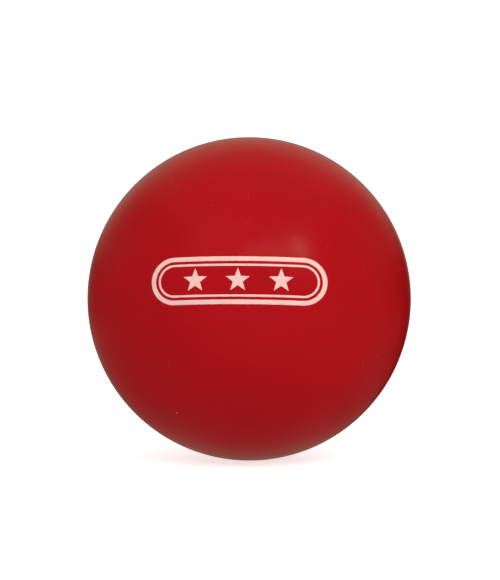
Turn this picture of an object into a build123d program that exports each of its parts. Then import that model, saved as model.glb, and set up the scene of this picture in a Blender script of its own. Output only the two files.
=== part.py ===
"""Seamless hard ball for stick-and-ball field games, in millimetres.

A cork-and-rubber centre is wound with five layers of yarn, with a layer of sheet cork between each
two. A latex skin binds the wound core, and two moulded cover halves close round it on a tongue and
groove. A weld bead fills the vee where the halves meet, and a mark is printed on the front half.

The origin is the ball's centre, and +Z is up. The two cover halves meet on the XZ plane, so their
poles are on the Y axis, and the printed mark faces -Y.
"""

import os
from math import asin, degrees, sqrt

from build123d import *

# ---- Driving dimensions --------------------------------------------------------------------
ball_diameter = 72.5
centre_diameter = 30.0
winding_count = 5
winding_thickness = 2.0
cork_thickness = 1.6
latex_thickness = 0.35

# ---- Sheet cork: each layer is cut as gores, like the peel of an orange ----------------------
gores_per_layer = 4
gore_joint_gap = 0.25
gore_tip_angle = 4.0
# The poles of each cork layer, and how far its first gore is turned from the next axis. Joints of
# neighbouring layers never lie over each other.
cork_layer_poles = [Axis.Z, Axis.X, Axis.Y, Axis.Z]
cork_layer_turns = [0.0, 20.0, 0.0, 45.0]

# ---- Joint between the cover halves ----------------------------------------------------------
tongue_width = 1.6
tongue_height = 1.2
bead_width = 0.8
bead_depth = 0.6

# ---- Printed mark ----------------------------------------------------------------------------
ink_thickness = 0.05
mark_length = 37.0
mark_height = 10.0
border_stroke = 0.95
liner_stroke = 0.45
liner_gap = 0.6
star_count = 3
star_radius = 2.6
star_waist = 0.42
star_spacing = 9.0
# The print head came in a little left of and above the front pole.
mark_azimuth = -3.8
mark_elevation = 8.7

# ---- Worked-out values -----------------------------------------------------------------------
ball_radius = ball_diameter / 2
centre_radius = centre_diameter / 2
core_radius = centre_radius + winding_count * winding_thickness + (winding_count - 1) * cork_thickness
cover_inner_radius = core_radius + latex_thickness
cover_thickness = ball_radius - cover_inner_radius
wall_middle = (cover_inner_radius + ball_radius) / 2
tongue_inner = wall_middle - tongue_width / 2
tongue_outer = wall_middle + tongue_width / 2
bead_floor = ball_radius - bead_depth
bead_half_angle = degrees(asin(bead_width / 2 / ball_radius))
winding_inner_radii = [
    centre_radius + layer * (winding_thickness + cork_thickness) for layer in range(winding_count)
]
cork_inner_radii = [inner + winding_thickness for inner in winding_inner_radii[:-1]]

os.makedirs("parts", exist_ok=True)


def save(solid, name):
    """Labels a finished piece and writes its STEP file."""
    solid.label = name
    export_step(solid, f"parts/{name}.step")
    return solid


# ---- Core ------------------------------------------------------------------------------------
with BuildPart() as centre_ball:
    Sphere(centre_radius)
save(centre_ball.part, "centre_ball")


def hollow_ball(inner_radius, outer_radius):
    """A closed round layer, such as a winding of yarn or the latex skin."""
    with BuildPart() as layer:
        Sphere(outer_radius)
        Sphere(inner_radius, mode=Mode.SUBTRACT)
    return layer.part


for layer, inner_radius in enumerate(winding_inner_radii, start=1):
    winding = hollow_ball(inner_radius, inner_radius + winding_thickness)
    save(winding, f"yarn_winding_{layer}")


def cork_gore(inner_radius, pole, turn):
    """One gore of sheet cork, pressed round. It starts turn degrees round the pole axis."""
    outer_radius = inner_radius + cork_thickness
    gap_angle = degrees(gore_joint_gap / inner_radius)
    width_angle = 360 / gores_per_layer - gap_angle
    reach_angle = 90 - gore_tip_angle
    square_to_pole = Vector(pole.direction.Y, pole.direction.Z, pole.direction.X)
    outwards = square_to_pole.rotate(pole, turn + gap_angle / 2)
    start_plane = Plane(origin=(0, 0, 0), x_dir=outwards, z_dir=outwards.cross(pole.direction))
    with BuildPart() as gore:
        with BuildSketch(start_plane):
            with BuildLine():
                outer = CenterArc((0, 0), outer_radius, -reach_angle, 2 * reach_angle)
                inner = CenterArc((0, 0), inner_radius, -reach_angle, 2 * reach_angle)
                Line(outer @ 0, inner @ 0)
                Line(outer @ 1, inner @ 1)
            make_face()
        revolve(axis=pole, revolution_arc=width_angle)
    return gore.part


for layer, inner_radius in enumerate(cork_inner_radii, start=1):
    pole = cork_layer_poles[layer - 1]
    for gore in range(gores_per_layer):
        turn = cork_layer_turns[layer - 1] + gore * 360 / gores_per_layer
        save(cork_gore(inner_radius, pole, turn), f"cork_layer_{layer}_gore_{gore + 1}")

save(hollow_ball(core_radius, cover_inner_radius), "latex_skin")

# ---- Cover -----------------------------------------------------------------------------------
# Each half is turned about the Y axis from its section: X runs outwards, and Y towards the back.
with BuildPart() as cover_front:
    with BuildSketch(Plane.XY):
        with BuildLine():
            outside = CenterArc((0, 0), ball_radius, -90, 90 - bead_half_angle)
            vee = Line(outside @ 1, (bead_floor, 0))
            groove = Polyline(
                vee @ 1,
                (tongue_outer, 0),
                (tongue_outer, -tongue_height),
                (tongue_inner, -tongue_height),
                (tongue_inner, 0),
                (cover_inner_radius, 0),
            )
            inside = CenterArc((0, 0), cover_inner_radius, -90, 90)
            Line(inside @ 0, outside @ 0)
        make_face()
    revolve(axis=Axis.Y)
save(cover_front.part, "cover_front")

with BuildPart() as cover_back:
    with BuildSketch(Plane.XY):
        with BuildLine():
            outside = CenterArc((0, 0), ball_radius, bead_half_angle, 90 - bead_half_angle)
            vee = Line(outside @ 0, (bead_floor, 0))
            tongue = Polyline(
                vee @ 1,
                (tongue_outer, 0),
                (tongue_outer, -tongue_height),
                (tongue_inner, -tongue_height),
                (tongue_inner, 0),
                (cover_inner_radius, 0),
            )
            inside = CenterArc((0, 0), cover_inner_radius, 0, 90)
            Line(inside @ 1, outside @ 1)
        make_face()
    revolve(axis=Axis.Y)
save(cover_back.part, "cover_back")

with BuildPart() as weld_bead:
    with BuildSketch(Plane.XY):
        with BuildLine():
            crown = CenterArc((0, 0), ball_radius, -bead_half_angle, 2 * bead_half_angle)
            Line(crown @ 0, (bead_floor, 0))
            Line(crown @ 1, (bead_floor, 0))
        make_face()
    revolve(axis=Axis.Y)
save(weld_bead.part, "weld_bead")

# ---- Printed mark ----------------------------------------------------------------------------
# The artwork is flat, and the print head presses it onto the ball along the plane's normal.
across = Vector(1, 0, 0).rotate(Axis.Z, mark_azimuth)
outwards = Vector(0, -1, 0).rotate(Axis.X, -mark_elevation).rotate(Axis.Z, mark_azimuth)
print_head = Plane(origin=(0, 0, 0), x_dir=across, z_dir=outwards)
artwork_drop = ball_radius - sqrt(ball_radius**2 - (mark_length / 2) ** 2)
artwork_plane = print_head.offset(ball_radius - artwork_drop - 1)
artwork_reach = artwork_drop + 2


def star_outline(centre_x):
    """The ten corners of a five-pointed star with one point up."""
    corners = []
    for corner in range(10):
        radius = star_radius if corner % 2 == 0 else star_radius * star_waist
        spoke = Vector(0, radius).rotate(Axis.Z, corner * 36)
        corners.append((centre_x + spoke.X, spoke.Y))
    return corners


with BuildPart() as print_border:
    with BuildSketch(artwork_plane):
        SlotOverall(mark_length, mark_height)
        SlotOverall(
            mark_length - 2 * border_stroke, mark_height - 2 * border_stroke, mode=Mode.SUBTRACT
        )
        liner_inset = border_stroke + liner_gap
        SlotOverall(mark_length - 2 * liner_inset, mark_height - 2 * liner_inset)
        liner_inset += liner_stroke
        SlotOverall(
            mark_length - 2 * liner_inset, mark_height - 2 * liner_inset, mode=Mode.SUBTRACT
        )
    extrude(amount=artwork_reach)
    Sphere(ball_radius, mode=Mode.SUBTRACT)
    Sphere(ball_radius + ink_thickness, mode=Mode.INTERSECT)
save(print_border.part, "print_border")

with BuildPart() as print_stars:
    with BuildSketch(artwork_plane):
        for star in range(star_count):
            with BuildLine():
                Polyline(star_outline((star - (star_count - 1) / 2) * star_spacing), close=True)
            make_face()
    extrude(amount=artwork_reach)
    Sphere(ball_radius, mode=Mode.SUBTRACT)
    Sphere(ball_radius + ink_thickness, mode=Mode.INTERSECT)
save(print_stars.part, "print_stars")

print(f"core radius {core_radius:.2f}, cover thickness {cover_thickness:.2f}")
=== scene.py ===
"""A seamless hard ball on a pale studio floor.

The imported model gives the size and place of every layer. Each layer is built again here with the
surface that the real one has: moulded cover halves with a buffed weld, a printed mark, a dipped latex
skin, wound yarn, gores of sheet cork, and a centre of cork bound with rubber.
"""

from math import cos, pi, radians, sin, sqrt
from random import Random

import bmesh
import bpy
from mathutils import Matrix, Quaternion, Vector, noise


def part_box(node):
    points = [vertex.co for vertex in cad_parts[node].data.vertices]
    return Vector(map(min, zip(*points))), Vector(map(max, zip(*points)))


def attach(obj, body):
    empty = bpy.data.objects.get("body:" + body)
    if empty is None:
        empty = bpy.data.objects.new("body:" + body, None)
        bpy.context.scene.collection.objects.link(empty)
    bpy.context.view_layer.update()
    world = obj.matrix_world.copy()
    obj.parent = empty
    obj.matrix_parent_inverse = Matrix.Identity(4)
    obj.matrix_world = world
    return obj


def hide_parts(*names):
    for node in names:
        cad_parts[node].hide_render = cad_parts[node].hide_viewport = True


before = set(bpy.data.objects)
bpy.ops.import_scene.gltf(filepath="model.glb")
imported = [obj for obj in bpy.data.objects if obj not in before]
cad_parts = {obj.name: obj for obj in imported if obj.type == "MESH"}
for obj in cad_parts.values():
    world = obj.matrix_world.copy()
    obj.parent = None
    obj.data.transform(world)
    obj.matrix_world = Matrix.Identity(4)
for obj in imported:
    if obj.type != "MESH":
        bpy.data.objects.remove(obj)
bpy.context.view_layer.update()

# ---- Sizes, in metres ------------------------------------------------------------------------
MM = 0.001
FITTING_STEP = 0.05 * MM

WINDINGS = 5
CORK_LAYERS = 4
GORES_PER_LAYER = 4
GORE_JOINT_GAP = 0.25 * MM
GORE_TIP_ANGLE = radians(4)
CORK_POLES = [Vector((0, 0, 1)), Vector((1, 0, 0)), Vector((0, 1, 0)), Vector((0, 0, 1))]
CORK_TURNS = [radians(0), radians(20), radians(0), radians(45)]

TONGUE_WIDTH = 1.6 * MM
TONGUE_HEIGHT = 1.2 * MM
BEAD_WIDTH = 0.8 * MM
BEAD_DEPTH = 0.6 * MM
BUFFED_BAND = radians(3)
BUFFED_DEPTH = 0.012 * MM
EDGE_ROUND = 0.06 * MM

YARN_RADIUS = 0.42 * MM
YARN_SIDES = 5
YARN_TWIST_PITCH = 2.4 * MM
# The pitch of the wraps, and how deep the first of them and the hollow ball under them lie.
WRAP_PITCH = 2.3 * YARN_RADIUS
WRAPS_DEPTH = 3.4 * YARN_RADIUS
UNDER_DEPTH = 2.2 * YARN_RADIUS
WRAP_STEPS = 56
WRAPS_PER_FAN = 11
FANS = 13

INK_THICKNESS = 0.05 * MM
INK_SINK = 0.01 * MM
# The ink's share of its full thickness at an edge, and in the middle of a line.
INK_EDGE = 0.55
INK_MIDDLE = 0.92
MARK_AZIMUTH = radians(-3.8)
MARK_ELEVATION = radians(8.7)
MARK_LENGTH = 37.0 * MM
MARK_HEIGHT = 10.0 * MM
BORDER_STROKE = 0.95 * MM
LINER_STROKE = 0.45 * MM
LINER_GAP = 0.6 * MM
STAR_COUNT = 3
STAR_RADIUS = 2.6 * MM
STAR_WAIST = 0.42
STAR_SPACING = 9.0 * MM


def round_radius(node):
    """A round node's outer radius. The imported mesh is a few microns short, so it is fitted to a step."""
    low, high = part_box(node)
    reach = max(high.x, high.y, high.z, -low.x, -low.y, -low.z)
    return round(reach / FITTING_STEP) * FITTING_STEP


CENTRE_RADIUS = round_radius("centre_ball")
WINDING_RADII = [round_radius(f"yarn_winding_{layer + 1}") for layer in range(WINDINGS)]
CORE_RADIUS = WINDING_RADII[-1]
SKIN_RADIUS = round_radius("latex_skin")
BALL_RADIUS = round_radius("cover_back")
CORK_RADII = [round_radius(f"cork_layer_{layer + 1}_gore_1") for layer in range(CORK_LAYERS)]


# ---- Node helpers ----------------------------------------------------------------------------
def add(tree, kind, sockets=None, **settings):
    """Adds a node with its settings. Each socket takes a value or another node's output."""
    node = tree.nodes.new(kind)
    for name, value in settings.items():
        setattr(node, name, value)
    for name, value in (sockets or {}).items():
        if isinstance(value, bpy.types.NodeSocket):
            tree.links.new(value, node.inputs[name])
        else:
            node.inputs[name].default_value = value
    return node


def mixed(tree, share, first, second):
    """The colour between first and second at a share from 0 to 1."""
    node = add(tree, "ShaderNodeMix", data_type="RGBA")
    for index, value in ((0, share), (6, first), (7, second)):
        if isinstance(value, bpy.types.NodeSocket):
            tree.links.new(value, node.inputs[index])
        else:
            node.inputs[index].default_value = (*value, 1) if index else value
    return node.outputs[2]


def ranged(tree, value, low, high, to_low=0.0, to_high=1.0, smooth=False):
    """A value moved from the range low..high to to_low..to_high, and held inside it."""
    sockets = {"Value": value, "From Min": low, "From Max": high, "To Min": to_low, "To Max": to_high}
    kind = "SMOOTHSTEP" if smooth else "LINEAR"
    return add(tree, "ShaderNodeMapRange", sockets, interpolation_type=kind).outputs["Result"]


def maths(tree, operation, first, second=0.0):
    """One or two values put through an operation."""
    return add(tree, "ShaderNodeMath", {0: first, 1: second}, operation=operation).outputs[0]


def plus(tree, first, second):
    """Two values added."""
    return maths(tree, "ADD", first, second)


def times(tree, first, second):
    """Two values multiplied."""
    return maths(tree, "MULTIPLY", first, second)


def vector_maths(tree, operation, first, second=(0, 0, 0)):
    """One or two vectors put through an operation. A dot product gives a value, not a vector."""
    node = add(tree, "ShaderNodeVectorMath", {0: first, 1: second}, operation=operation)
    return node.outputs["Value" if operation == "DOT_PRODUCT" else "Vector"]


def red_of(tree, colour):
    """A colour's red channel, which gives each cell of a cellular texture a value of its own."""
    return add(tree, "ShaderNodeSeparateColor", {"Color": colour}).outputs["Red"]


def noise_of(tree, place, scale, detail=2.0, roughness=0.5, distortion=0.0):
    """Fractal noise from 0 to 1. Scale is in lumps to the metre."""
    sockets = {
        "Vector": place,
        "Scale": scale,
        "Detail": detail,
        "Roughness": roughness,
        "Distortion": distortion,
    }
    return add(tree, "ShaderNodeTexNoise", sockets).outputs["Fac"]


def new_group(name, inputs, outputs):
    """An empty shader group with (name, socket kind, value) inputs and (name, socket kind) outputs."""
    tree = bpy.data.node_groups.new(name, "ShaderNodeTree")
    for label, kind, value in inputs:
        socket = tree.interface.new_socket(label, in_out="INPUT", socket_type=kind)
        if value is not None:
            socket.default_value = value
    for label, kind in outputs:
        tree.interface.new_socket(label, in_out="OUTPUT", socket_type=kind)
    return tree, add(tree, "NodeGroupInput"), add(tree, "NodeGroupOutput")


def place_group(tree, group, **values):
    """Places a shared group in a material. Underscores in the names stand for spaces."""
    node = add(tree, "ShaderNodeGroup", node_tree=group)
    for name, value in values.items():
        socket = node.inputs[name.replace("_", " ")]
        if isinstance(value, bpy.types.NodeSocket):
            tree.links.new(value, socket)
        else:
            socket.default_value = value
    return node


def new_material(name):
    """A material with one Principled shader. Returns it, its tree, the shader and the object's place."""
    material = bpy.data.materials.new(name)
    material.use_nodes = True
    tree = material.node_tree
    tree.nodes.clear()
    shader = add(tree, "ShaderNodeBsdfPrincipled")
    add(tree, "ShaderNodeOutputMaterial", {"Surface": shader.outputs["BSDF"]})
    place = add(tree, "ShaderNodeTexCoord").outputs["Object"]
    return material, tree, shader, place


def feed(tree, shader, colour, roughness, height, depth):
    """Joins the colour, the roughness and the relief, which is depth metres high, to the shader."""
    bump = add(tree, "ShaderNodeBump", {"Strength": 1.0, "Distance": depth, "Height": height})
    tree.links.new(colour, shader.inputs["Base Color"])
    tree.links.new(roughness, shader.inputs["Roughness"])
    tree.links.new(bump.outputs["Normal"], shader.inputs["Normal"])


# ---- Shared effects --------------------------------------------------------------------------
def cloudy_tone_group():
    """A colour that drifts lighter and darker in soft clouds, with a second, finer drift over it."""
    tree, given, made = new_group(
        "cloudy_tone",
        [
            ("Place", "NodeSocketVector", None),
            ("Light", "NodeSocketColor", (1, 1, 1, 1)),
            ("Dark", "NodeSocketColor", (0, 0, 0, 1)),
            ("Cloud Scale", "NodeSocketFloat", 30.0),
            ("Fleck Scale", "NodeSocketFloat", 400.0),
        ],
        [("Color", "NodeSocketColor")],
    )
    clouds = noise_of(tree, given.outputs["Place"], given.outputs["Cloud Scale"], 3.0)
    flecks = noise_of(tree, given.outputs["Place"], given.outputs["Fleck Scale"], 2.0)
    drift = plus(tree, clouds, times(tree, flecks, 0.3))
    share = ranged(tree, drift, 0.45, 0.85)
    colour = mixed(tree, share, given.outputs["Light"], given.outputs["Dark"])
    tree.links.new(colour, made.inputs["Color"])
    return tree


def moulded_skin_group():
    """The relief of a moulded or dipped skin: a slow orange peel with a fine grain on it."""
    tree, given, made = new_group(
        "moulded_skin",
        [
            ("Place", "NodeSocketVector", None),
            ("Peel Scale", "NodeSocketFloat", 700.0),
            ("Grain Scale", "NodeSocketFloat", 6000.0),
            ("Grain Share", "NodeSocketFloat", 0.25),
        ],
        [("Height", "NodeSocketFloat")],
    )
    peel = noise_of(tree, given.outputs["Place"], given.outputs["Peel Scale"], 1.0)
    grain = noise_of(tree, given.outputs["Place"], given.outputs["Grain Scale"], 2.0)
    grain = times(tree, grain, given.outputs["Grain Share"])
    tree.links.new(plus(tree, peel, grain), made.inputs["Height"])
    return tree


def handling_group():
    """What handling leaves: soft smudges, short hairline scuffs and a few specks of dust."""
    tree, given, made = new_group(
        "handling",
        [
            ("Place", "NodeSocketVector", None),
            ("Scuff Share", "NodeSocketFloat", 0.5),
        ],
        [("Smudge", "NodeSocketFloat"), ("Scuff", "NodeSocketFloat"), ("Dust", "NodeSocketFloat")],
    )
    place = given.outputs["Place"]
    smudge = ranged(tree, noise_of(tree, place, 55.0, 3.0, 0.55), 0.52, 0.74, smooth=True)

    # Each cell of a cellular texture may hold one hairline, which lies along the surface.
    cells = add(tree, "ShaderNodeTexVoronoi", {"Vector": place, "Scale": 190.0})
    spot = cells.outputs["Position"]
    offset = vector_maths(tree, "SUBTRACT", place, spot)
    lean = vector_maths(tree, "SUBTRACT", cells.outputs["Color"], (0.5, 0.5, 0.5))
    along = vector_maths(tree, "NORMALIZE", vector_maths(tree, "CROSS_PRODUCT", lean, spot))
    across = vector_maths(tree, "NORMALIZE", vector_maths(tree, "CROSS_PRODUCT", along, spot))
    ends = maths(tree, "ABSOLUTE", vector_maths(tree, "DOT_PRODUCT", offset, along))
    sides = maths(tree, "ABSOLUTE", vector_maths(tree, "DOT_PRODUCT", offset, across))
    hair = times(
        tree,
        ranged(tree, ends, 0.4 * MM, 1.6 * MM, 1.0, 0.0),
        ranged(tree, sides, 0.01 * MM, 0.05 * MM, 1.0, 0.0),
    )
    few = ranged(tree, red_of(tree, cells.outputs["Color"]), 0.91, 0.93)
    scuff = times(tree, times(tree, hair, few), given.outputs["Scuff Share"])

    grains = add(tree, "ShaderNodeTexVoronoi", {"Vector": place, "Scale": 260.0})
    near = ranged(tree, grains.outputs["Distance"], 0.03, 0.045, 1.0, 0.0)
    rare = ranged(tree, red_of(tree, grains.outputs["Color"]), 0.970, 0.975)
    tree.links.new(smudge, made.inputs["Smudge"])
    tree.links.new(scuff, made.inputs["Scuff"])
    tree.links.new(times(tree, near, rare), made.inputs["Dust"])
    return tree


def cork_granules_group():
    """Granules of cork pressed together: each has its own tone, with dark seams and pores between."""
    tree, given, made = new_group(
        "cork_granules",
        [
            ("Place", "NodeSocketVector", None),
            ("Granule Scale", "NodeSocketFloat", 600.0),
            ("Seam Width", "NodeSocketFloat", 0.06),
        ],
        [("Tone", "NodeSocketFloat"), ("Seam", "NodeSocketFloat"), ("Height", "NodeSocketFloat")],
    )
    place = given.outputs["Place"]
    scale = given.outputs["Granule Scale"]
    warp = add(tree, "ShaderNodeTexNoise", {"Vector": place, "Scale": scale, "Detail": 1.0})
    shift = vector_maths(tree, "MULTIPLY", warp.outputs["Color"], (0.6 * MM,) * 3)
    bent = vector_maths(tree, "ADD", place, shift)
    cells = add(tree, "ShaderNodeTexVoronoi", {"Vector": bent, "Scale": scale})
    edges = add(
        tree,
        "ShaderNodeTexVoronoi",
        {"Vector": bent, "Scale": scale},
        feature="DISTANCE_TO_EDGE",
    )
    own = red_of(tree, cells.outputs["Color"])
    mottle = noise_of(tree, place, times(tree, scale, 7.0), 3.0, 0.6)
    mottle = ranged(tree, mottle, 0.3, 0.7, -0.25, 0.25)
    tone = ranged(tree, plus(tree, own, mottle), 0.0, 1.0)
    seam = add(
        tree,
        "ShaderNodeMapRange",
        {
            "Value": edges.outputs["Distance"],
            "From Max": given.outputs["Seam Width"],
            "To Min": 1.0,
            "To Max": 0.0,
        },
    ).outputs["Result"]
    height = maths(tree, "SUBTRACT", times(tree, tone, 0.4), seam)
    tree.links.new(tone, made.inputs["Tone"])
    tree.links.new(seam, made.inputs["Seam"])
    tree.links.new(height, made.inputs["Height"])
    return tree


def laid_strands_group():
    """Yarns laid side by side in fans. Each fan runs its own way, square to the line from the middle."""
    tree, given, made = new_group(
        "laid_strands",
        [
            ("Place", "NodeSocketVector", None),
            ("Fan Scale", "NodeSocketFloat", 45.0),
            ("Strand Width", "NodeSocketFloat", 0.001),
        ],
        [("Height", "NodeSocketFloat"), ("Tone", "NodeSocketFloat")],
    )
    place = given.outputs["Place"]
    fans = add(tree, "ShaderNodeTexVoronoi", {"Vector": place, "Scale": given.outputs["Fan Scale"]})
    lean = vector_maths(tree, "SUBTRACT", fans.outputs["Color"], (0.5, 0.5, 0.5))
    across = vector_maths(tree, "CROSS_PRODUCT", lean, fans.outputs["Position"])
    across = vector_maths(tree, "NORMALIZE", across)
    waver = times(tree, noise_of(tree, place, 260.0, 1.0), 0.8)
    strand = vector_maths(tree, "DOT_PRODUCT", place, across)
    strand = plus(tree, maths(tree, "DIVIDE", strand, given.outputs["Strand Width"]), waver)
    wave = maths(tree, "SINE", times(tree, strand, pi))
    each = times(tree, maths(tree, "FLOOR", strand), 7.31)
    tree.links.new(maths(tree, "ABSOLUTE", wave), made.inputs["Height"])
    tree.links.new(maths(tree, "ABSOLUTE", maths(tree, "SINE", each)), made.inputs["Tone"])
    return tree


CLOUDY_TONE = cloudy_tone_group()
MOULDED_SKIN = moulded_skin_group()
HANDLING = handling_group()
CORK_GRANULES = cork_granules_group()
LAID_STRANDS = laid_strands_group()

# ---- Materials -------------------------------------------------------------------------------
CRIMSON = (0.455, 0.0015, 0.0065)
DEEP_CRIMSON = (0.415, 0.0015, 0.0057)
SCUFFED_RED = (0.62, 0.10, 0.09)
DUST_GREY = (0.55, 0.42, 0.38)
BUFFED_RED = (0.42, 0.004, 0.009)
DEEP_BUFFED_RED = (0.36, 0.003, 0.007)

INK_WHITE = (0.98, 0.63, 0.57)
THIN_INK = (0.95, 0.56, 0.50)
INK_PINHOLE = (0.62, 0.16, 0.15)
SCUFFED_INK = (0.80, 0.45, 0.42)

LATEX_CREAM = (0.74, 0.58, 0.34)
LATEX_TAN = (0.58, 0.40, 0.18)
LATEX_AMBER = (0.40, 0.22, 0.07)

WOOL = (0.72, 0.60, 0.42)
GREY_WOOL = (0.50, 0.39, 0.25)
BROWN_WOOL = (0.44, 0.33, 0.20)
# Painted shade for the valleys between plies and between strands.
PAINTED_WOOL_SHADE = (0.27, 0.19, 0.11)

DARK_CORK = (0.38, 0.19, 0.075)
PALE_CORK = (0.60, 0.36, 0.17)
CORK_SEAM = (0.16, 0.07, 0.03)
CORK_PORE = (0.07, 0.03, 0.015)

DARK_GRANULE = (0.20, 0.085, 0.03)
PALE_GRANULE = (0.42, 0.22, 0.09)
BINDING_RUBBER = (0.045, 0.022, 0.014)

# The rubber mirrors less than the shader's usual 0.5.
RUBBER_MIRROR = 0.2


def skin_relief(tree, place, peel_scale, grain_scale, grain_share):
    """The height of a moulded skin, with its own peel and grain."""
    skin = place_group(
        tree,
        MOULDED_SKIN,
        Place=place,
        Peel_Scale=peel_scale,
        Grain_Scale=grain_scale,
        Grain_Share=grain_share,
    )
    return skin.outputs["Height"]


def tone_of(tree, place, light, dark, cloud_scale, fleck_scale):
    """A finish's colour, which drifts between a light and a dark one."""
    tone = place_group(
        tree,
        CLOUDY_TONE,
        Place=place,
        Light=(*light, 1),
        Dark=(*dark, 1),
        Cloud_Scale=cloud_scale,
        Fleck_Scale=fleck_scale,
    )
    return tone.outputs["Color"]


def cover_rubber():
    """Satin crimson rubber as it leaves the mould, wiped and handled a little."""
    material, tree, shader, place = new_material("cover_rubber")
    tone = tone_of(tree, place, CRIMSON, DEEP_CRIMSON, 42.0, 650.0)
    skin = skin_relief(tree, place, 620.0, 5200.0, 0.2)
    wear = place_group(tree, HANDLING, Place=place, Scuff_Share=0.25)
    colour = mixed(tree, wear.outputs["Scuff"], tone, SCUFFED_RED)
    colour = mixed(tree, wear.outputs["Dust"], colour, DUST_GREY)
    roughness = ranged(tree, wear.outputs["Smudge"], 0.0, 1.0, 0.235, 0.268)
    roughness = plus(tree, roughness, times(tree, wear.outputs["Scuff"], 0.3))
    feed(tree, shader, colour, roughness, skin, 0.012 * MM)
    shader.inputs["Specular IOR Level"].default_value = RUBBER_MIRROR
    return material


def buffed_rubber():
    """The weld bead: the cover's rubber, cut back with a fine wheel that ran round the joint."""
    material, tree, shader, place = new_material("buffed_rubber")
    tone = tone_of(tree, place, BUFFED_RED, DEEP_BUFFED_RED, 90.0, 1500.0)
    wear = place_group(tree, HANDLING, Place=place, Scuff_Share=0.5)
    rings = add(tree, "ShaderNodeMapping", {"Vector": place, "Scale": (60.0, 14000.0, 60.0)})
    grooves = noise_of(tree, rings.outputs["Vector"], 1.0, 2.0)
    roughness = plus(tree, ranged(tree, grooves, 0.3, 0.7, 0.46, 0.60), wear.outputs["Scuff"])
    feed(tree, shader, tone, roughness, grooves, 0.006 * MM)
    shader.inputs["Specular IOR Level"].default_value = RUBBER_MIRROR
    return material


def mark_ink():
    """White ink, printed thinly enough that the red shows through in places and in pinholes."""
    material, tree, shader, place = new_material("mark_ink")
    tone = tone_of(tree, place, INK_WHITE, THIN_INK, 260.0, 2600.0)
    skin = skin_relief(tree, place, 1400.0, 9000.0, 0.5)
    wear = place_group(tree, HANDLING, Place=place, Scuff_Share=0.6)
    specks = add(tree, "ShaderNodeTexVoronoi", {"Vector": place, "Scale": 2300.0})
    near = ranged(tree, specks.outputs["Distance"], 0.16, 0.24, 1.0, 0.0)
    rare = ranged(tree, red_of(tree, specks.outputs["Color"]), 0.90, 0.92)
    holes = times(tree, near, rare)
    colour = mixed(tree, holes, tone, INK_PINHOLE)
    colour = mixed(tree, wear.outputs["Scuff"], colour, SCUFFED_INK)
    roughness = ranged(tree, wear.outputs["Smudge"], 0.0, 1.0, 0.42, 0.52)
    height = maths(tree, "SUBTRACT", skin, holes)
    feed(tree, shader, colour, roughness, height, 0.008 * MM)
    return material


def dipped_latex():
    """Latex that dried in the air. The yarns show through it, and it is amber where it pooled."""
    material, tree, shader, place = new_material("dipped_latex")
    tone = tone_of(tree, place, LATEX_CREAM, LATEX_TAN, 120.0, 900.0)
    strands = place_group(tree, LAID_STRANDS, Place=place, Fan_Scale=48.0, Strand_Width=0.95 * MM)
    skin = skin_relief(tree, place, 500.0, 2400.0, 0.4)
    pooled = ranged(tree, strands.outputs["Height"], 0.0, 0.6, 0.75, 0.0, smooth=True)
    colour = mixed(tree, pooled, tone, LATEX_AMBER)
    roughness = ranged(tree, skin, 0.3, 0.9, 0.28, 0.5)
    softened = ranged(tree, strands.outputs["Height"], 0.0, 0.8, smooth=True)
    height = plus(tree, softened, times(tree, skin, 0.5))
    feed(tree, shader, colour, roughness, height, 0.07 * MM)
    return material


def wound_yarn():
    """Plain wool yarn: a two-ply twist along each strand, with loose fibres that catch the light, and
    painted shade in the valleys between plies and between strands.
    """
    material, tree, shader, place = new_material("wound_yarn")
    tone = tone_of(tree, place, WOOL, GREY_WOOL, 140.0, 2200.0)
    twist = add(tree, "ShaderNodeAttribute", attribute_name="twist").outputs["Fac"]
    under = add(tree, "ShaderNodeAttribute", attribute_name="under").outputs["Fac"]
    strands = place_group(tree, LAID_STRANDS, Place=place, Fan_Scale=60.0, Strand_Width=0.9 * MM)
    ply = ranged(tree, maths(tree, "SINE", twist), -1.0, 1.0)
    fibres = noise_of(tree, place, 9000.0, 2.0)
    laid = times(tree, strands.outputs["Height"], 1.5)
    raised = add(tree, "ShaderNodeMix", {"Factor": under, "A": ply, "B": laid}).outputs[0]
    # Painted shade: the yarn is darker where its relief is low, between plies and between strands.
    painted_valley_shade = ranged(tree, raised, 0.0, 0.45, 0.5, 0.0)
    darker = times(tree, strands.outputs["Tone"], 0.3)
    colour = mixed(tree, darker, tone, BROWN_WOOL)
    colour = mixed(tree, painted_valley_shade, colour, PAINTED_WOOL_SHADE)
    roughness = ranged(tree, fibres, 0.2, 0.8, 0.78, 0.95)
    height = plus(tree, raised, times(tree, fibres, 0.4))
    feed(tree, shader, colour, roughness, height, 0.09 * MM)
    shader.inputs["Sheen Weight"].default_value = 0.25
    shader.inputs["Sheen Roughness"].default_value = 0.5
    return material


def gore_cork():
    """Natural sheet cork, with warm granules, dark seams and the odd long pore."""
    material, tree, shader, place = new_material("gore_cork")
    grains = place_group(tree, CORK_GRANULES, Place=place, Granule_Scale=620.0, Seam_Width=0.07)
    pores = add(tree, "ShaderNodeMapping", {"Vector": place, "Scale": (300.0, 300.0, 1100.0)})
    pores = ranged(tree, noise_of(tree, pores.outputs["Vector"], 1.0, 2.0), 0.66, 0.70)
    colour = mixed(tree, grains.outputs["Tone"], DARK_CORK, PALE_CORK)
    colour = mixed(tree, times(tree, grains.outputs["Seam"], 0.7), colour, CORK_SEAM)
    colour = mixed(tree, pores, colour, CORK_PORE)
    roughness = ranged(tree, grains.outputs["Tone"], 0.0, 1.0, 0.72, 0.9)
    height = maths(tree, "SUBTRACT", grains.outputs["Height"], pores)
    feed(tree, shader, colour, roughness, height, 0.08 * MM)
    return material


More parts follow.
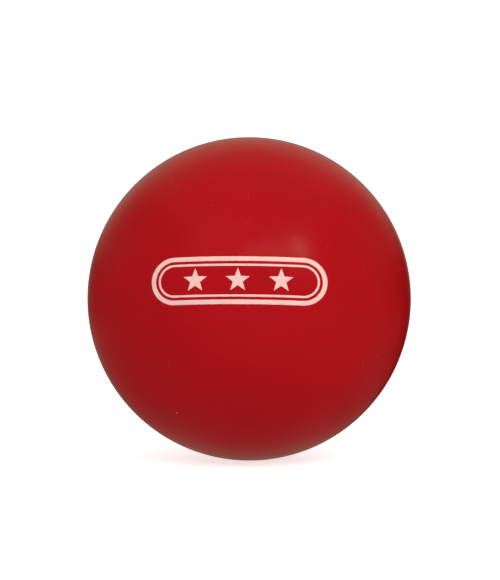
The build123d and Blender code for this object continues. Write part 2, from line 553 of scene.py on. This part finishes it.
def bound_cork():
    """The centre: coarse cork granules in dark rubber, pressed hot in a round mould."""
    material, tree, shader, place = new_material("bound_cork")
    grains = place_group(tree, CORK_GRANULES, Place=place, Granule_Scale=420.0, Seam_Width=0.16)
    skin = skin_relief(tree, place, 900.0, 4000.0, 0.5)
    colour = mixed(tree, grains.outputs["Tone"], DARK_GRANULE, PALE_GRANULE)
    colour = mixed(tree, grains.outputs["Seam"], colour, BINDING_RUBBER)
    roughness = ranged(tree, grains.outputs["Seam"], 0.0, 1.0, 0.8, 0.5)
    height = plus(tree, grains.outputs["Height"], times(tree, skin, 0.3))
    feed(tree, shader, colour, roughness, height, 0.06 * MM)
    return material


# ---- Mesh helpers ----------------------------------------------------------------------------
WELD = 0.0001 * MM
SKIRT_WELD = 0.0005 * MM

# Squares along each side of a half ball, a gore or one of a star's kites.
CENTRE_STEPS = 72
UNDER_STEPS = 28
HOLLOW_STEPS = 20
GORE_STEPS = 22
LATEX_STEPS = 88
LATEX_HOLLOW_STEPS = 40
COVER_STEPS = 112
STAR_STEPS = 9


def finish_piece(mesh, name, material, nodes, sharp_above=radians(40), hollow=0.0):
    """Turns a bmesh into a piece that rides on the ball, replaces its CAD nodes and is shaded smooth.
    Faces nearer to the middle than hollow are the inside of a closed layer, and face the middle."""
    bmesh.ops.remove_doubles(mesh, verts=mesh.verts, dist=WELD)
    bmesh.ops.recalc_face_normals(mesh, faces=mesh.faces)
    inside = [face for face in mesh.faces if face.calc_center_median().length < hollow]
    bmesh.ops.reverse_faces(mesh, faces=inside)
    data = bpy.data.meshes.new(name)
    mesh.to_mesh(data)
    mesh.free()
    data.shade_smooth()
    data.set_sharp_from_angle(angle=sharp_above)
    data.materials.append(material)
    piece = bpy.data.objects.new(name, data)
    bpy.context.scene.collection.objects.link(piece)
    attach(piece, "root")
    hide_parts(*nodes)
    return piece


def add_loop(mesh, points):
    """Adds a closed row of points and returns them."""
    return [mesh.verts.new(point) for point in points]


def bridge(mesh, first, second):
    """Joins two closed rows of as many points with a ring of faces."""
    for index in range(len(first)):
        after = (index + 1) % len(first)
        mesh.faces.new((first[index], first[after], second[after], second[index]))


def around(steps):
    """The angles of the points round a turned row, in the order in which a cap's rim has them."""
    return [pi * 5 / 4 + index * pi / 2 / steps for index in range(4 * steps)]


def turned_row(mesh, distance, along, steps):
    """A row of points round the Y axis, distance away from it and at y = along."""
    return add_loop(mesh, [(distance * cos(a), along, distance * sin(a)) for a in around(steps)])


def add_cap(mesh, radius, reach, side, steps):
    """A cap of a sphere round the Y axis, out to the angle reach from its pole, which is at -Y for side
    -1. Its faces are a square grid pressed round, so none is a sliver at the pole. Returns its rim."""
    grid = []
    for row in range(steps + 1):
        for column in range(steps + 1):
            across = 2 * column / steps - 1
            upward = 2 * row / steps - 1
            if abs(across) > abs(upward):
                share, turn = across, pi / 4 * upward / across
            elif upward:
                share, turn = upward, pi / 2 - pi / 4 * across / upward
            else:
                share, turn = 0.0, 0.0
            out, along = radius * sin(share * reach), side * radius * cos(share * reach)
            grid.append(mesh.verts.new((out * cos(turn), along, out * sin(turn))))
    width = steps + 1
    for row in range(steps):
        for column in range(steps):
            corner = row * width + column
            above = corner + width
            mesh.faces.new((grid[corner], grid[corner + 1], grid[above + 1], grid[above]))
    bottom = grid[:steps]
    right = [grid[row * width + steps] for row in range(steps)]
    top = grid[steps * width + 1:][::-1]
    left = [grid[row * width] for row in range(steps, 0, -1)]
    return bottom + right + top + left


def add_ball(mesh, radius, steps):
    """A whole round surface of two caps that meet in the XZ plane."""
    for side in (-1, 1):
        add_cap(mesh, radius, pi / 2, side, steps)


def relief(point, size, seed):
    """Smooth noise from -1 to 1 with lumps of about a size. A seed moves it to a place of its own."""
    return noise.noise(point / size + Vector((seed * 7.3, seed * 3.1, seed * 5.7)))


def push(vertices, height):
    """Moves each vertex outwards by height(its point)."""
    for vertex in vertices:
        vertex.co += vertex.co.normalized() * height(vertex.co)


# ---- Core ------------------------------------------------------------------------------------
def make_centre(material):
    """The centre ball, with its granules standing a little proud of the rubber."""
    mesh = bmesh.new()
    add_ball(mesh, CENTRE_RADIUS - 0.08 * MM, CENTRE_STEPS)
    push(mesh.verts, lambda p: 0.05 * MM * relief(p, 1.6 * MM, 1) + 0.03 * MM * relief(p, 5 * MM, 2))
    finish_piece(mesh, "cork_and_rubber_centre", material, ["centre_ball"])


def yarn_path(inner, outer, seed):
    """The centre line of one yarn wound round a ball, as fans of wraps. Each fan's wraps turn a little
    about the same two poles, and the next fan has other poles. The yarn climbs as it is wound."""
    random = Random(seed)
    wrap_turn = WRAP_PITCH / outer
    first, second = Vector((1, 0, 0)), Vector((0, 0, 1))
    low, high = max(inner, outer - WRAPS_DEPTH) + YARN_RADIUS, outer - YARN_RADIUS
    steps = FANS * WRAPS_PER_FAN * WRAP_STEPS
    points = []
    for _ in range(FANS):
        pole = Vector((random.gauss(0, 1), random.gauss(0, 1), random.gauss(0, 1)))
        pole = (pole - pole.project(first.cross(second))).normalized()
        swing = Quaternion(pole, wrap_turn / WRAP_STEPS)
        lean_axis = first.cross(second).cross(pole).normalized()
        lean = Quaternion(lean_axis, random.uniform(0.5, 1.0) / WRAP_STEPS)
        for step in range(WRAPS_PER_FAN * WRAP_STEPS):
            turn = 2 * pi * step / WRAP_STEPS
            change = lean if step < WRAP_STEPS else swing
            first, second = change @ first, change @ second
            climb = low + (high - low) * len(points) / steps
            points.append((first * cos(turn) + second * sin(turn)) * climb)
    return points


def add_yarn(mesh, path, twist):
    """A closed tube along a path, with the layer that its ply twist is painted by."""
    loops = []
    for index, point in enumerate(path):
        before = path[max(index - 1, 0)]
        after = path[min(index + 1, len(path) - 1)]
        outward = point.normalized()
        sideways = outward.cross((after - before).normalized())
        loop = []
        for side in range(YARN_SIDES):
            angle = 2 * pi * side / YARN_SIDES
            vertex = mesh.verts.new(point + (outward * cos(angle) + sideways * sin(angle)) * YARN_RADIUS)
            vertex[twist] = 2 * angle + index * (point - before).length * 2 * pi / YARN_TWIST_PITCH
            loop.append(vertex)
        loops.append(loop)
    for first, second in zip(loops, loops[1:]):
        bridge(mesh, first, second)
    mesh.faces.new(loops[0])
    mesh.faces.new(loops[-1])


def make_winding(layer, material):
    """One winding: the yarns under it as a hollow ball, and the last turns of yarn over that."""
    inner = CENTRE_RADIUS if layer == 0 else CORK_RADII[layer - 1]
    outer = WINDING_RADII[layer]
    mesh = bmesh.new()
    twist = mesh.verts.layers.float.new("twist")
    under = mesh.verts.layers.float.new("under")
    add_ball(mesh, outer - UNDER_DEPTH, UNDER_STEPS)
    add_ball(mesh, inner, HOLLOW_STEPS)
    for vertex in mesh.verts:
        vertex[under] = 1.0
    add_yarn(mesh, yarn_path(inner, outer, layer + 11), twist)
    name = f"yarn_wound_{layer + 1}"
    hollow = inner + 0.3 * MM
    finish_piece(mesh, name, material, [f"yarn_winding_{layer + 1}"], hollow=hollow)


def make_gore(layer, gore, material):
    """One gore of sheet cork, as part.py places it, with pitted faces and edges a little crushed."""
    pole = CORK_POLES[layer]
    inner, outer = WINDING_RADII[layer], CORK_RADII[layer]
    gap = GORE_JOINT_GAP / inner
    start = CORK_TURNS[layer] + gore * 2 * pi / GORES_PER_LAYER + gap / 2
    width = 2 * pi / GORES_PER_LAYER - gap
    reach = pi / 2 - GORE_TIP_ANGLE
    square = Vector((pole.y, pole.z, pole.x))
    crushed = 0.12 * MM
    mesh = bmesh.new()

    def sheet(radius, sink):
        rows = []
        for up in range(GORE_STEPS + 1):
            latitude = reach * (2 * up / GORE_STEPS - 1)
            row = []
            for over in range(GORE_STEPS + 1):
                turned = square.copy()
                turned.rotate(Quaternion(pole, start + width * over / GORE_STEPS))
                edge = up in (0, GORE_STEPS) or over in (0, GORE_STEPS)
                direction = turned * cos(latitude) + pole * sin(latitude)
                pits = abs(relief(direction * radius, 1.3 * MM, layer + 3)) * 0.06 * MM
                depth = (crushed if edge else pits) * sink
                row.append(mesh.verts.new(direction * (radius - depth)))
            rows.append(row)
        for low, high in zip(rows, rows[1:]):
            for over in range(GORE_STEPS):
                mesh.faces.new((low[over], low[over + 1], high[over + 1], high[over]))
        left = [row[0] for row in rows[1:-1]][::-1]
        right = [row[-1] for row in rows[1:-1]]
        return rows[0] + right + rows[-1][::-1] + left

    bridge(mesh, sheet(outer, 1), sheet(inner, -1))
    name = f"cork_{layer + 1}_gore_{gore + 1}"
    finish_piece(mesh, name, material, [f"cork_layer_{layer + 1}_gore_{gore + 1}"])


def make_latex(material):
    """The latex skin. The yarns under it show through as soft ridges."""
    mesh = bmesh.new()
    add_ball(mesh, SKIN_RADIUS, LATEX_STEPS)

    def ridges(point):
        folds = abs(relief(point, 3.2 * MM, 21)) + abs(relief(point, 1.5 * MM, 22))
        return 0.07 * MM * (folds - 1.2)

    push(mesh.verts, ridges)
    outside = len(mesh.verts)
    add_ball(mesh, CORE_RADIUS, LATEX_HOLLOW_STEPS)
    mesh.verts.ensure_lookup_table()
    push(mesh.verts[outside:], lambda p: 0.02 * MM * (relief(p, 3.2 * MM, 21) + 1))
    hollow = (CORE_RADIUS + SKIN_RADIUS) / 2
    finish_piece(mesh, "latex_dipped_skin", material, ["latex_skin"], hollow=hollow)


# ---- Cover -----------------------------------------------------------------------------------
BEAD_ANGLE = BEAD_WIDTH / 2 / BALL_RADIUS
WALL_MIDDLE = (SKIN_RADIUS + BALL_RADIUS) / 2
TONGUE_INNER = WALL_MIDDLE - TONGUE_WIDTH / 2
TONGUE_OUTER = WALL_MIDDLE + TONGUE_WIDTH / 2


def skin_height(point):
    """How far the moulded skin stands from a true sphere at a point: it wavers by a few microns."""
    return 0.008 * MM * relief(point, 9 * MM, 31) + 0.004 * MM * relief(point, 3.5 * MM, 32)


def make_cover_half(side, name, node, material):
    """One cover half: its moulded outside, the buffed band and the vee, its half of the joint, and the
    inside. Side is -1 for the front half, which has the groove, and 1 for the back one."""
    mesh = bmesh.new()
    cap_reach = pi / 2 - BUFFED_BAND
    rim = add_cap(mesh, BALL_RADIUS, cap_reach, side, COVER_STEPS)
    outside = []
    for share in (0.25, 0.45, 0.6, 0.72, 0.80):
        lift = BUFFED_BAND * (1 - share)
        radius = BALL_RADIUS - BUFFED_DEPTH * min(1, share / 0.6)
        outside.append((radius * cos(lift), side * radius * sin(lift)))
    edge = BALL_RADIUS - BUFFED_DEPTH
    lift = BEAD_ANGLE + EDGE_ROUND / edge
    outside.append((edge * cos(lift), side * edge * sin(lift)))
    edge -= EDGE_ROUND
    joint = [
        (edge * cos(BEAD_ANGLE), side * edge * sin(BEAD_ANGLE)),
        (BALL_RADIUS - BEAD_DEPTH, 0.0),
        (TONGUE_OUTER, 0.0),
        (TONGUE_OUTER, -TONGUE_HEIGHT),
        (TONGUE_INNER, -TONGUE_HEIGHT),
        (TONGUE_INNER, 0.0),
    ]
    for distance, along in outside + joint:
        row = turned_row(mesh, distance, along, COVER_STEPS)
        bridge(mesh, rim, row)
        rim = row
    bridge(mesh, rim, add_cap(mesh, SKIN_RADIUS, pi / 2, side, COVER_STEPS))
    outer_skin = [vertex for vertex in mesh.verts if vertex.co.length > BALL_RADIUS - 0.1 * MM]
    push(outer_skin, skin_height)
    finish_piece(mesh, name, material, [node], sharp_above=radians(28))


def make_weld_bead(material):
    """The bead that fills the vee. Buffing left its crown a few microns low and not quite even."""
    mesh = bmesh.new()
    crown = BALL_RADIUS - 0.03 * MM
    shoulder = BALL_RADIUS - EDGE_ROUND - BUFFED_DEPTH
    section = [(BALL_RADIUS - BEAD_DEPTH, 0.0)]
    section.append((shoulder * cos(BEAD_ANGLE), -shoulder * sin(BEAD_ANGLE)))
    for share in (-0.7, -0.35, 0.0, 0.35, 0.7):
        section.append((crown * cos(BEAD_ANGLE * share), crown * sin(BEAD_ANGLE * share)))
    section.append((shoulder * cos(BEAD_ANGLE), shoulder * sin(BEAD_ANGLE)))
    rows = [turned_row(mesh, distance, along, COVER_STEPS) for distance, along in section]
    for first, second in zip(rows, rows[1:] + rows[:1]):
        bridge(mesh, first, second)
    for row in rows[2:7]:
        push(row, lambda p: 0.012 * MM * relief(p, 2.5 * MM, 41) + 0.006 * MM * relief(p, 0.8 * MM, 42))
    finish_piece(mesh, "weld_bead_ring", material, ["weld_bead"])


# ---- Printed mark ----------------------------------------------------------------------------
MARK_ACROSS = Vector((cos(MARK_AZIMUTH), sin(MARK_AZIMUTH), 0))
MARK_OUTWARD = Vector(
    (
        sin(MARK_AZIMUTH) * cos(MARK_ELEVATION),
        -cos(MARK_AZIMUTH) * cos(MARK_ELEVATION),
        sin(MARK_ELEVATION),
    )
)
MARK_UPWARD = MARK_OUTWARD.cross(MARK_ACROSS)


def printed(across, upward, height):
    """The point over the artwork's point (across, upward), height above the cover's skin."""
    drop = sqrt(BALL_RADIUS**2 - across**2 - upward**2)
    point = MARK_ACROSS * across + MARK_UPWARD * upward + MARK_OUTWARD * drop
    return point.normalized() * (BALL_RADIUS + skin_height(point) + height)


def pill_outline(length, height, spacing):
    """Points and outward directions along a pill shape's edge, about spacing apart."""
    radius = height / 2
    straight = length - height
    straight_steps = round(straight / spacing)
    bend_steps = round(pi * radius / spacing)
    outline = []
    for side in (1, -1):
        for step in range(straight_steps):
            outline.append((side * (step / straight_steps - 0.5) * straight, side * radius, 0.0, side))
        for step in range(bend_steps):
            angle = pi / 2 - pi * step / bend_steps
            x, y = side * cos(angle), side * sin(angle)
            outline.append((side * straight / 2 + radius * x, radius * y, x, y))
    return outline


def add_stroke(mesh, length, height, stroke, seed):
    """A band of ink round a pill shape, whose outer edge is length by height. Its edges waver."""
    soft = 0.06 * MM
    half = stroke / 2
    section = [
        (-half, -INK_SINK),
        (-half, INK_THICKNESS * INK_EDGE),
        (-half + soft, INK_THICKNESS),
        (-half / 3, INK_THICKNESS * INK_MIDDLE),
        (half / 3, INK_THICKNESS * INK_MIDDLE),
        (half - soft, INK_THICKNESS),
        (half, INK_THICKNESS * INK_EDGE),
        (half, -INK_SINK),
    ]
    rows = []
    for x, y, out_x, out_y in pill_outline(length - stroke, height - stroke, 0.3 * MM):
        waver = 0.03 * MM * relief(Vector((x, y, 0)), 0.9 * MM, seed)
        row = []
        for offset, lift in section:
            reach = offset + (waver if offset > 0 else -waver)
            row.append(mesh.verts.new(printed(x + out_x * reach, y + out_y * reach, lift)))
        rows.append(row)
    for first, second in zip(rows, rows[1:] + rows[:1]):
        bridge(mesh, first, second)


def star_faces(centre):
    """A five-pointed star with one point up, as the faces of five kites that meet in its middle. Each
    corner of a face is a flat point of the artwork and its height."""
    waist = STAR_RADIUS * STAR_WAIST
    faces = []
    for point in range(5):
        corners = []
        for turn, radius in ((0, 0), (-36, waist), (0, STAR_RADIUS), (36, waist)):
            angle = radians(point * 72 + turn)
            corners.append(Vector((centre - radius * sin(angle), radius * cos(angle), 0)))
        middle, before, tip, after = corners
        grid = []
        for down in range(STAR_STEPS + 1):
            for over in range(STAR_STEPS + 1):
                first = middle.lerp(before, over / STAR_STEPS)
                second = after.lerp(tip, over / STAR_STEPS)
                flat = first.lerp(second, down / STAR_STEPS)
                rim = STAR_STEPS in (over, down)
                grid.append((flat, INK_THICKNESS * (INK_EDGE if rim else 1)))
        for down in range(STAR_STEPS):
            for over in range(STAR_STEPS):
                index = down * (STAR_STEPS + 1) + over
                below = index + STAR_STEPS + 1
                faces.append([grid[index], grid[index + 1], grid[below + 1], grid[below]])
    return faces


def make_border(material):
    """The mark's border: a bold line with a thin liner inside it."""
    mesh = bmesh.new()
    add_stroke(mesh, MARK_LENGTH, MARK_HEIGHT, BORDER_STROKE, 51)
    inset = 2 * (BORDER_STROKE + LINER_GAP)
    add_stroke(mesh, MARK_LENGTH - inset, MARK_HEIGHT - inset, LINER_STROKE, 52)
    finish_piece(mesh, "mark_border", material, ["print_border"], sharp_above=radians(60))


def make_stars(material):
    """The mark's three stars."""
    mesh = bmesh.new()
    for star in range(STAR_COUNT):
        centre = (star - (STAR_COUNT - 1) / 2) * STAR_SPACING
        for face in star_faces(centre):
            mesh.faces.new([mesh.verts.new(printed(flat.x, flat.y, lift)) for flat, lift in face])
    bmesh.ops.remove_doubles(mesh, verts=mesh.verts, dist=WELD)
    top = mesh.faces[:]
    edges = [edge for edge in mesh.edges if edge.is_boundary]
    skirt = bmesh.ops.extrude_edge_only(mesh, edges=edges)["geom"]
    for vertex in [part for part in skirt if isinstance(part, bmesh.types.BMVert)]:
        vertex.co = vertex.co.normalized() * (vertex.co.length - INK_THICKNESS * INK_EDGE - INK_SINK)
    below = bmesh.ops.duplicate(mesh, geom=top)["geom"]
    for vertex in [part for part in below if isinstance(part, bmesh.types.BMVert)]:
        vertex.co = vertex.co.normalized() * (BALL_RADIUS + skin_height(vertex.co) - INK_SINK)
    bmesh.ops.remove_doubles(mesh, verts=mesh.verts, dist=SKIRT_WELD)
    # The mesh tools leave these points and faces in any order, so they are sorted along a skew line.
    skew = Vector((1.0, 0.37, 0.61))
    mesh.verts.sort(key=lambda vertex: vertex.co.dot(skew))
    mesh.faces.sort(key=lambda face: face.calc_center_median().dot(skew))
    finish_piece(mesh, "mark_stars", material, ["print_stars"], sharp_above=radians(60))


# ---- Studio ----------------------------------------------------------------------------------
FLOOR_RADIUS = 1.5
BEND_RADIUS = 0.7
WALL_HEIGHT = 2.4
PAPER_WHITE = (0.87, 0.87, 0.865)
PAPER_BOUNCE = (0.35, 0.35, 0.35)
# The paper's glow that lights the ball is painted light: no lamp stands behind the paper.
BACKLIGHT = 0.41
WHITENING = 0.7
# The painted room reflection's brightness in front of the ball, and its warm colour.
FRONT_GLOW = 0.115
WARM_GLOW = (1.0, 1.0, 0.76)
WARM_STRIP = (1.0, 0.95, 0.62)
ROOM_LIGHT = (1.0, 1.0, 0.88, 1)
ROOM_STRENGTH = 0.28

# Each painted dark patch's strength, and the heights at which it starts, is full, starts to fade and ends.
# # They are heights of the direction from the ball's middle, from -1 for straight down to 1.
# # Each patch is painted shade in the paper's glow, and so also a dark painted reflection on the ball.
RIGHT_DARK_PATCH = (0.95, (-0.75, -0.45, 0.05, 0.33))
LEFT_DARK_PATCH = (0.70, (-0.22, -0.05, 0.05, 0.22))


def painted_dark_patch(tree, sideways, backwards, height, dark_patch):
    """Painted shade in the paper's glow, behind the ball and to one side: 0 outside it, and up to a
    strength.
    """
    strength, (bottom, low, high, top) = dark_patch
    shade = ranged(tree, sideways, 0.25, 0.38, smooth=True)
    for edge in (
        ranged(tree, height, bottom, low, smooth=True),
        ranged(tree, height, high, top, 1.0, 0.0, smooth=True),
        ranged(tree, backwards, 0.1, 0.75, 0.0, strength),
    ):
        shade = times(tree, shade, edge)
    return shade


def studio_paper():
    """White paper that glows. The camera sees it white, with an even glow added. For other rays the glow
    is painted
    light: a painted backlight that lights the ball, and a painted reflection of a dim room that is
    brighter behind the ball than in front of it. A painted dark patch at each side darkens both."""
    material, tree, shader, place = new_material("studio_paper")
    ray = add(tree, "ShaderNodeLightPath")
    direction = vector_maths(tree, "NORMALIZE", place)
    toward = add(tree, "ShaderNodeSeparateXYZ", {"Vector": direction})
    x, y, z = toward.outputs["X"], toward.outputs["Y"], toward.outputs["Z"]
    leftwards = times(tree, x, -1.0)
    beside = maths(tree, "ABSOLUTE", x)
    behind = ranged(tree, plus(tree, y, times(tree, z, -0.35)), -0.42, 0.05, smooth=True)
    middle = ranged(tree, beside, 0.3, 0.75, 1.0, 0.0, smooth=True)
    extra = ranged(tree, z, -0.5, 0.3, 0.13, 0.26)
    extra = times(tree, extra, times(tree, behind, middle))
    # A painted reflection: the dim room that glossy rays see in the paper's glow, brighter behind the
    # ball.
    room = plus(tree, extra, FRONT_GLOW)
    painted_dark_patches = plus(tree, painted_dark_patch(tree, x, y, z, RIGHT_DARK_PATCH), painted_dark_patch(tree, leftwards, y, z, LEFT_DARK_PATCH))
    shown = maths(tree, "SUBTRACT", 1.0, painted_dark_patches)
    mirrored = times(tree, room, shown)
    # Painted light: the paper's glow for rays that light the ball, with the painted dark patches in it.
    glow = times(tree, shown, BACKLIGHT)
    mirrored = mixed(tree, mirrored, (0, 0, 0), WARM_GLOW)
    glow = mixed(tree, ray.outputs["Is Glossy Ray"], glow, mirrored)
    glow = mixed(tree, ray.outputs["Is Camera Ray"], glow, (WHITENING,) * 3)
    paper = mixed(tree, ray.outputs["Is Camera Ray"], PAPER_BOUNCE, PAPER_WHITE)
    paper = mixed(tree, ray.outputs["Is Glossy Ray"], paper, (0, 0, 0))
    tree.links.new(paper, shader.inputs["Base Color"])
    tree.links.new(glow, shader.inputs["Emission Color"])
    shader.inputs["Emission Strength"].default_value = 1.0
    shader.inputs["Roughness"].default_value = 0.95
    shader.inputs["Specular IOR Level"].default_value = 0.0
    material.cycles.emission_sampling = "NONE"
    return material


def make_floor(material):
    """A round floor of paper that bends up into a wall all round, so that no view has a horizon."""
    mesh = bmesh.new()
    floor = -BALL_RADIUS
    section = [(0.02, floor), (0.2, floor), (0.6, floor), (FLOOR_RADIUS, floor)]
    for step in range(1, 13):
        angle = pi / 2 * step / 12
        section.append((FLOOR_RADIUS + BEND_RADIUS * sin(angle), floor + BEND_RADIUS * (1 - cos(angle))))
    section.append((FLOOR_RADIUS + BEND_RADIUS, floor + WALL_HEIGHT))
    turns = [2 * pi * index / 96 for index in range(96)]
    rows = [add_loop(mesh, [(r * cos(a), r * sin(a), z) for a in turns]) for r, z in section]
    for first, second in zip(rows, rows[1:]):
        bridge(mesh, first, second)
    mesh.faces.new(rows[0])
    data = bpy.data.meshes.new("studio_floor")
    bmesh.ops.recalc_face_normals(mesh, faces=mesh.faces)
    mesh.to_mesh(data)
    mesh.free()
    data.shade_smooth()
    data.materials.append(material)
    floor_object = bpy.data.objects.new("studio_floor", data)
    bpy.context.scene.collection.objects.link(floor_object)


def soft_light(name, place, size, power, mirrored=False):
    """A rectangular lamp that faces the ball. Only a mirrored one shows as a highlight on it."""
    lamp = bpy.data.lights.new(name, "AREA")
    lamp.shape = "RECTANGLE"
    lamp.size, lamp.size_y = size
    lamp.energy = power
    if mirrored:
        lamp.color = WARM_STRIP
    holder = bpy.data.objects.new(name, lamp)
    holder.location = place
    holder.rotation_euler = (-Vector(place)).to_track_quat("-Z", "Y").to_euler()
    holder.visible_glossy = mirrored
    bpy.context.scene.collection.objects.link(holder)


def make_lights():
    """A broad lamp overhead and a softer one at each side. The satin skin mirrors two faint strips."""
    soft_light("overhead_lamp", (0.15, -0.25, 1.5), (1.6, 1.6), 2.2)
    soft_light("right_lamp", (0.68, -0.92, 0.78), (0.9, 0.9), 6.2)
    soft_light("left_lamp", (-0.6, -0.9, 0.9), (0.9, 0.9), 3.6)
    soft_light("long_strip", (0.27, -1.07, 0.79), (0.75, 0.15), 0.75, mirrored=True)
    soft_light("short_strip", (0.74, -0.84, 0.77), (0.16, 0.32), 0.80, mirrored=True)
    world = bpy.data.worlds.new("room")
    world.use_nodes = True
    background = world.node_tree.nodes["Background"]
    background.inputs["Color"].default_value = ROOM_LIGHT
    background.inputs["Strength"].default_value = ROOM_STRENGTH
    bpy.context.scene.world = world


def make_camera():
    """A long lens, a little above the ball's middle, looking along +Y."""
    distance, elevation = 0.48, radians(2.5)
    ball_share = 0.279
    camera = bpy.data.cameras.new("camera")
    camera.sensor_width = 36.0
    camera.lens = ball_share * camera.sensor_width * sqrt(distance**2 - BALL_RADIUS**2) / BALL_RADIUS
    camera.shift_x, camera.shift_y = 0.0014, 0.0152
    holder = bpy.data.objects.new("camera", camera)
    holder.location = (0, -distance * cos(elevation), distance * sin(elevation))
    holder.rotation_euler = (-holder.location).to_track_quat("-Z", "Y").to_euler()
    bpy.context.scene.collection.objects.link(holder)
    bpy.context.scene.camera = holder


# ---- Making ----------------------------------------------------------------------------------
make_camera()
make_lights()
make_floor(studio_paper())

make_centre(bound_cork())
yarn = wound_yarn()
cork = gore_cork()
for winding in range(WINDINGS):
    make_winding(winding, yarn)
for cork_layer in range(CORK_LAYERS):
    for gore_number in range(GORES_PER_LAYER):
        make_gore(cork_layer, gore_number, cork)
make_latex(dipped_latex())

rubber = cover_rubber()
make_cover_half(-1, "moulded_cover_front", "cover_front", rubber)
make_cover_half(1, "moulded_cover_back", "cover_back", rubber)
make_weld_bead(buffed_rubber())
ink = mark_ink()
make_border(ink)
make_stars(ink)

bpy.context.scene.view_settings.view_transform = "Standard"
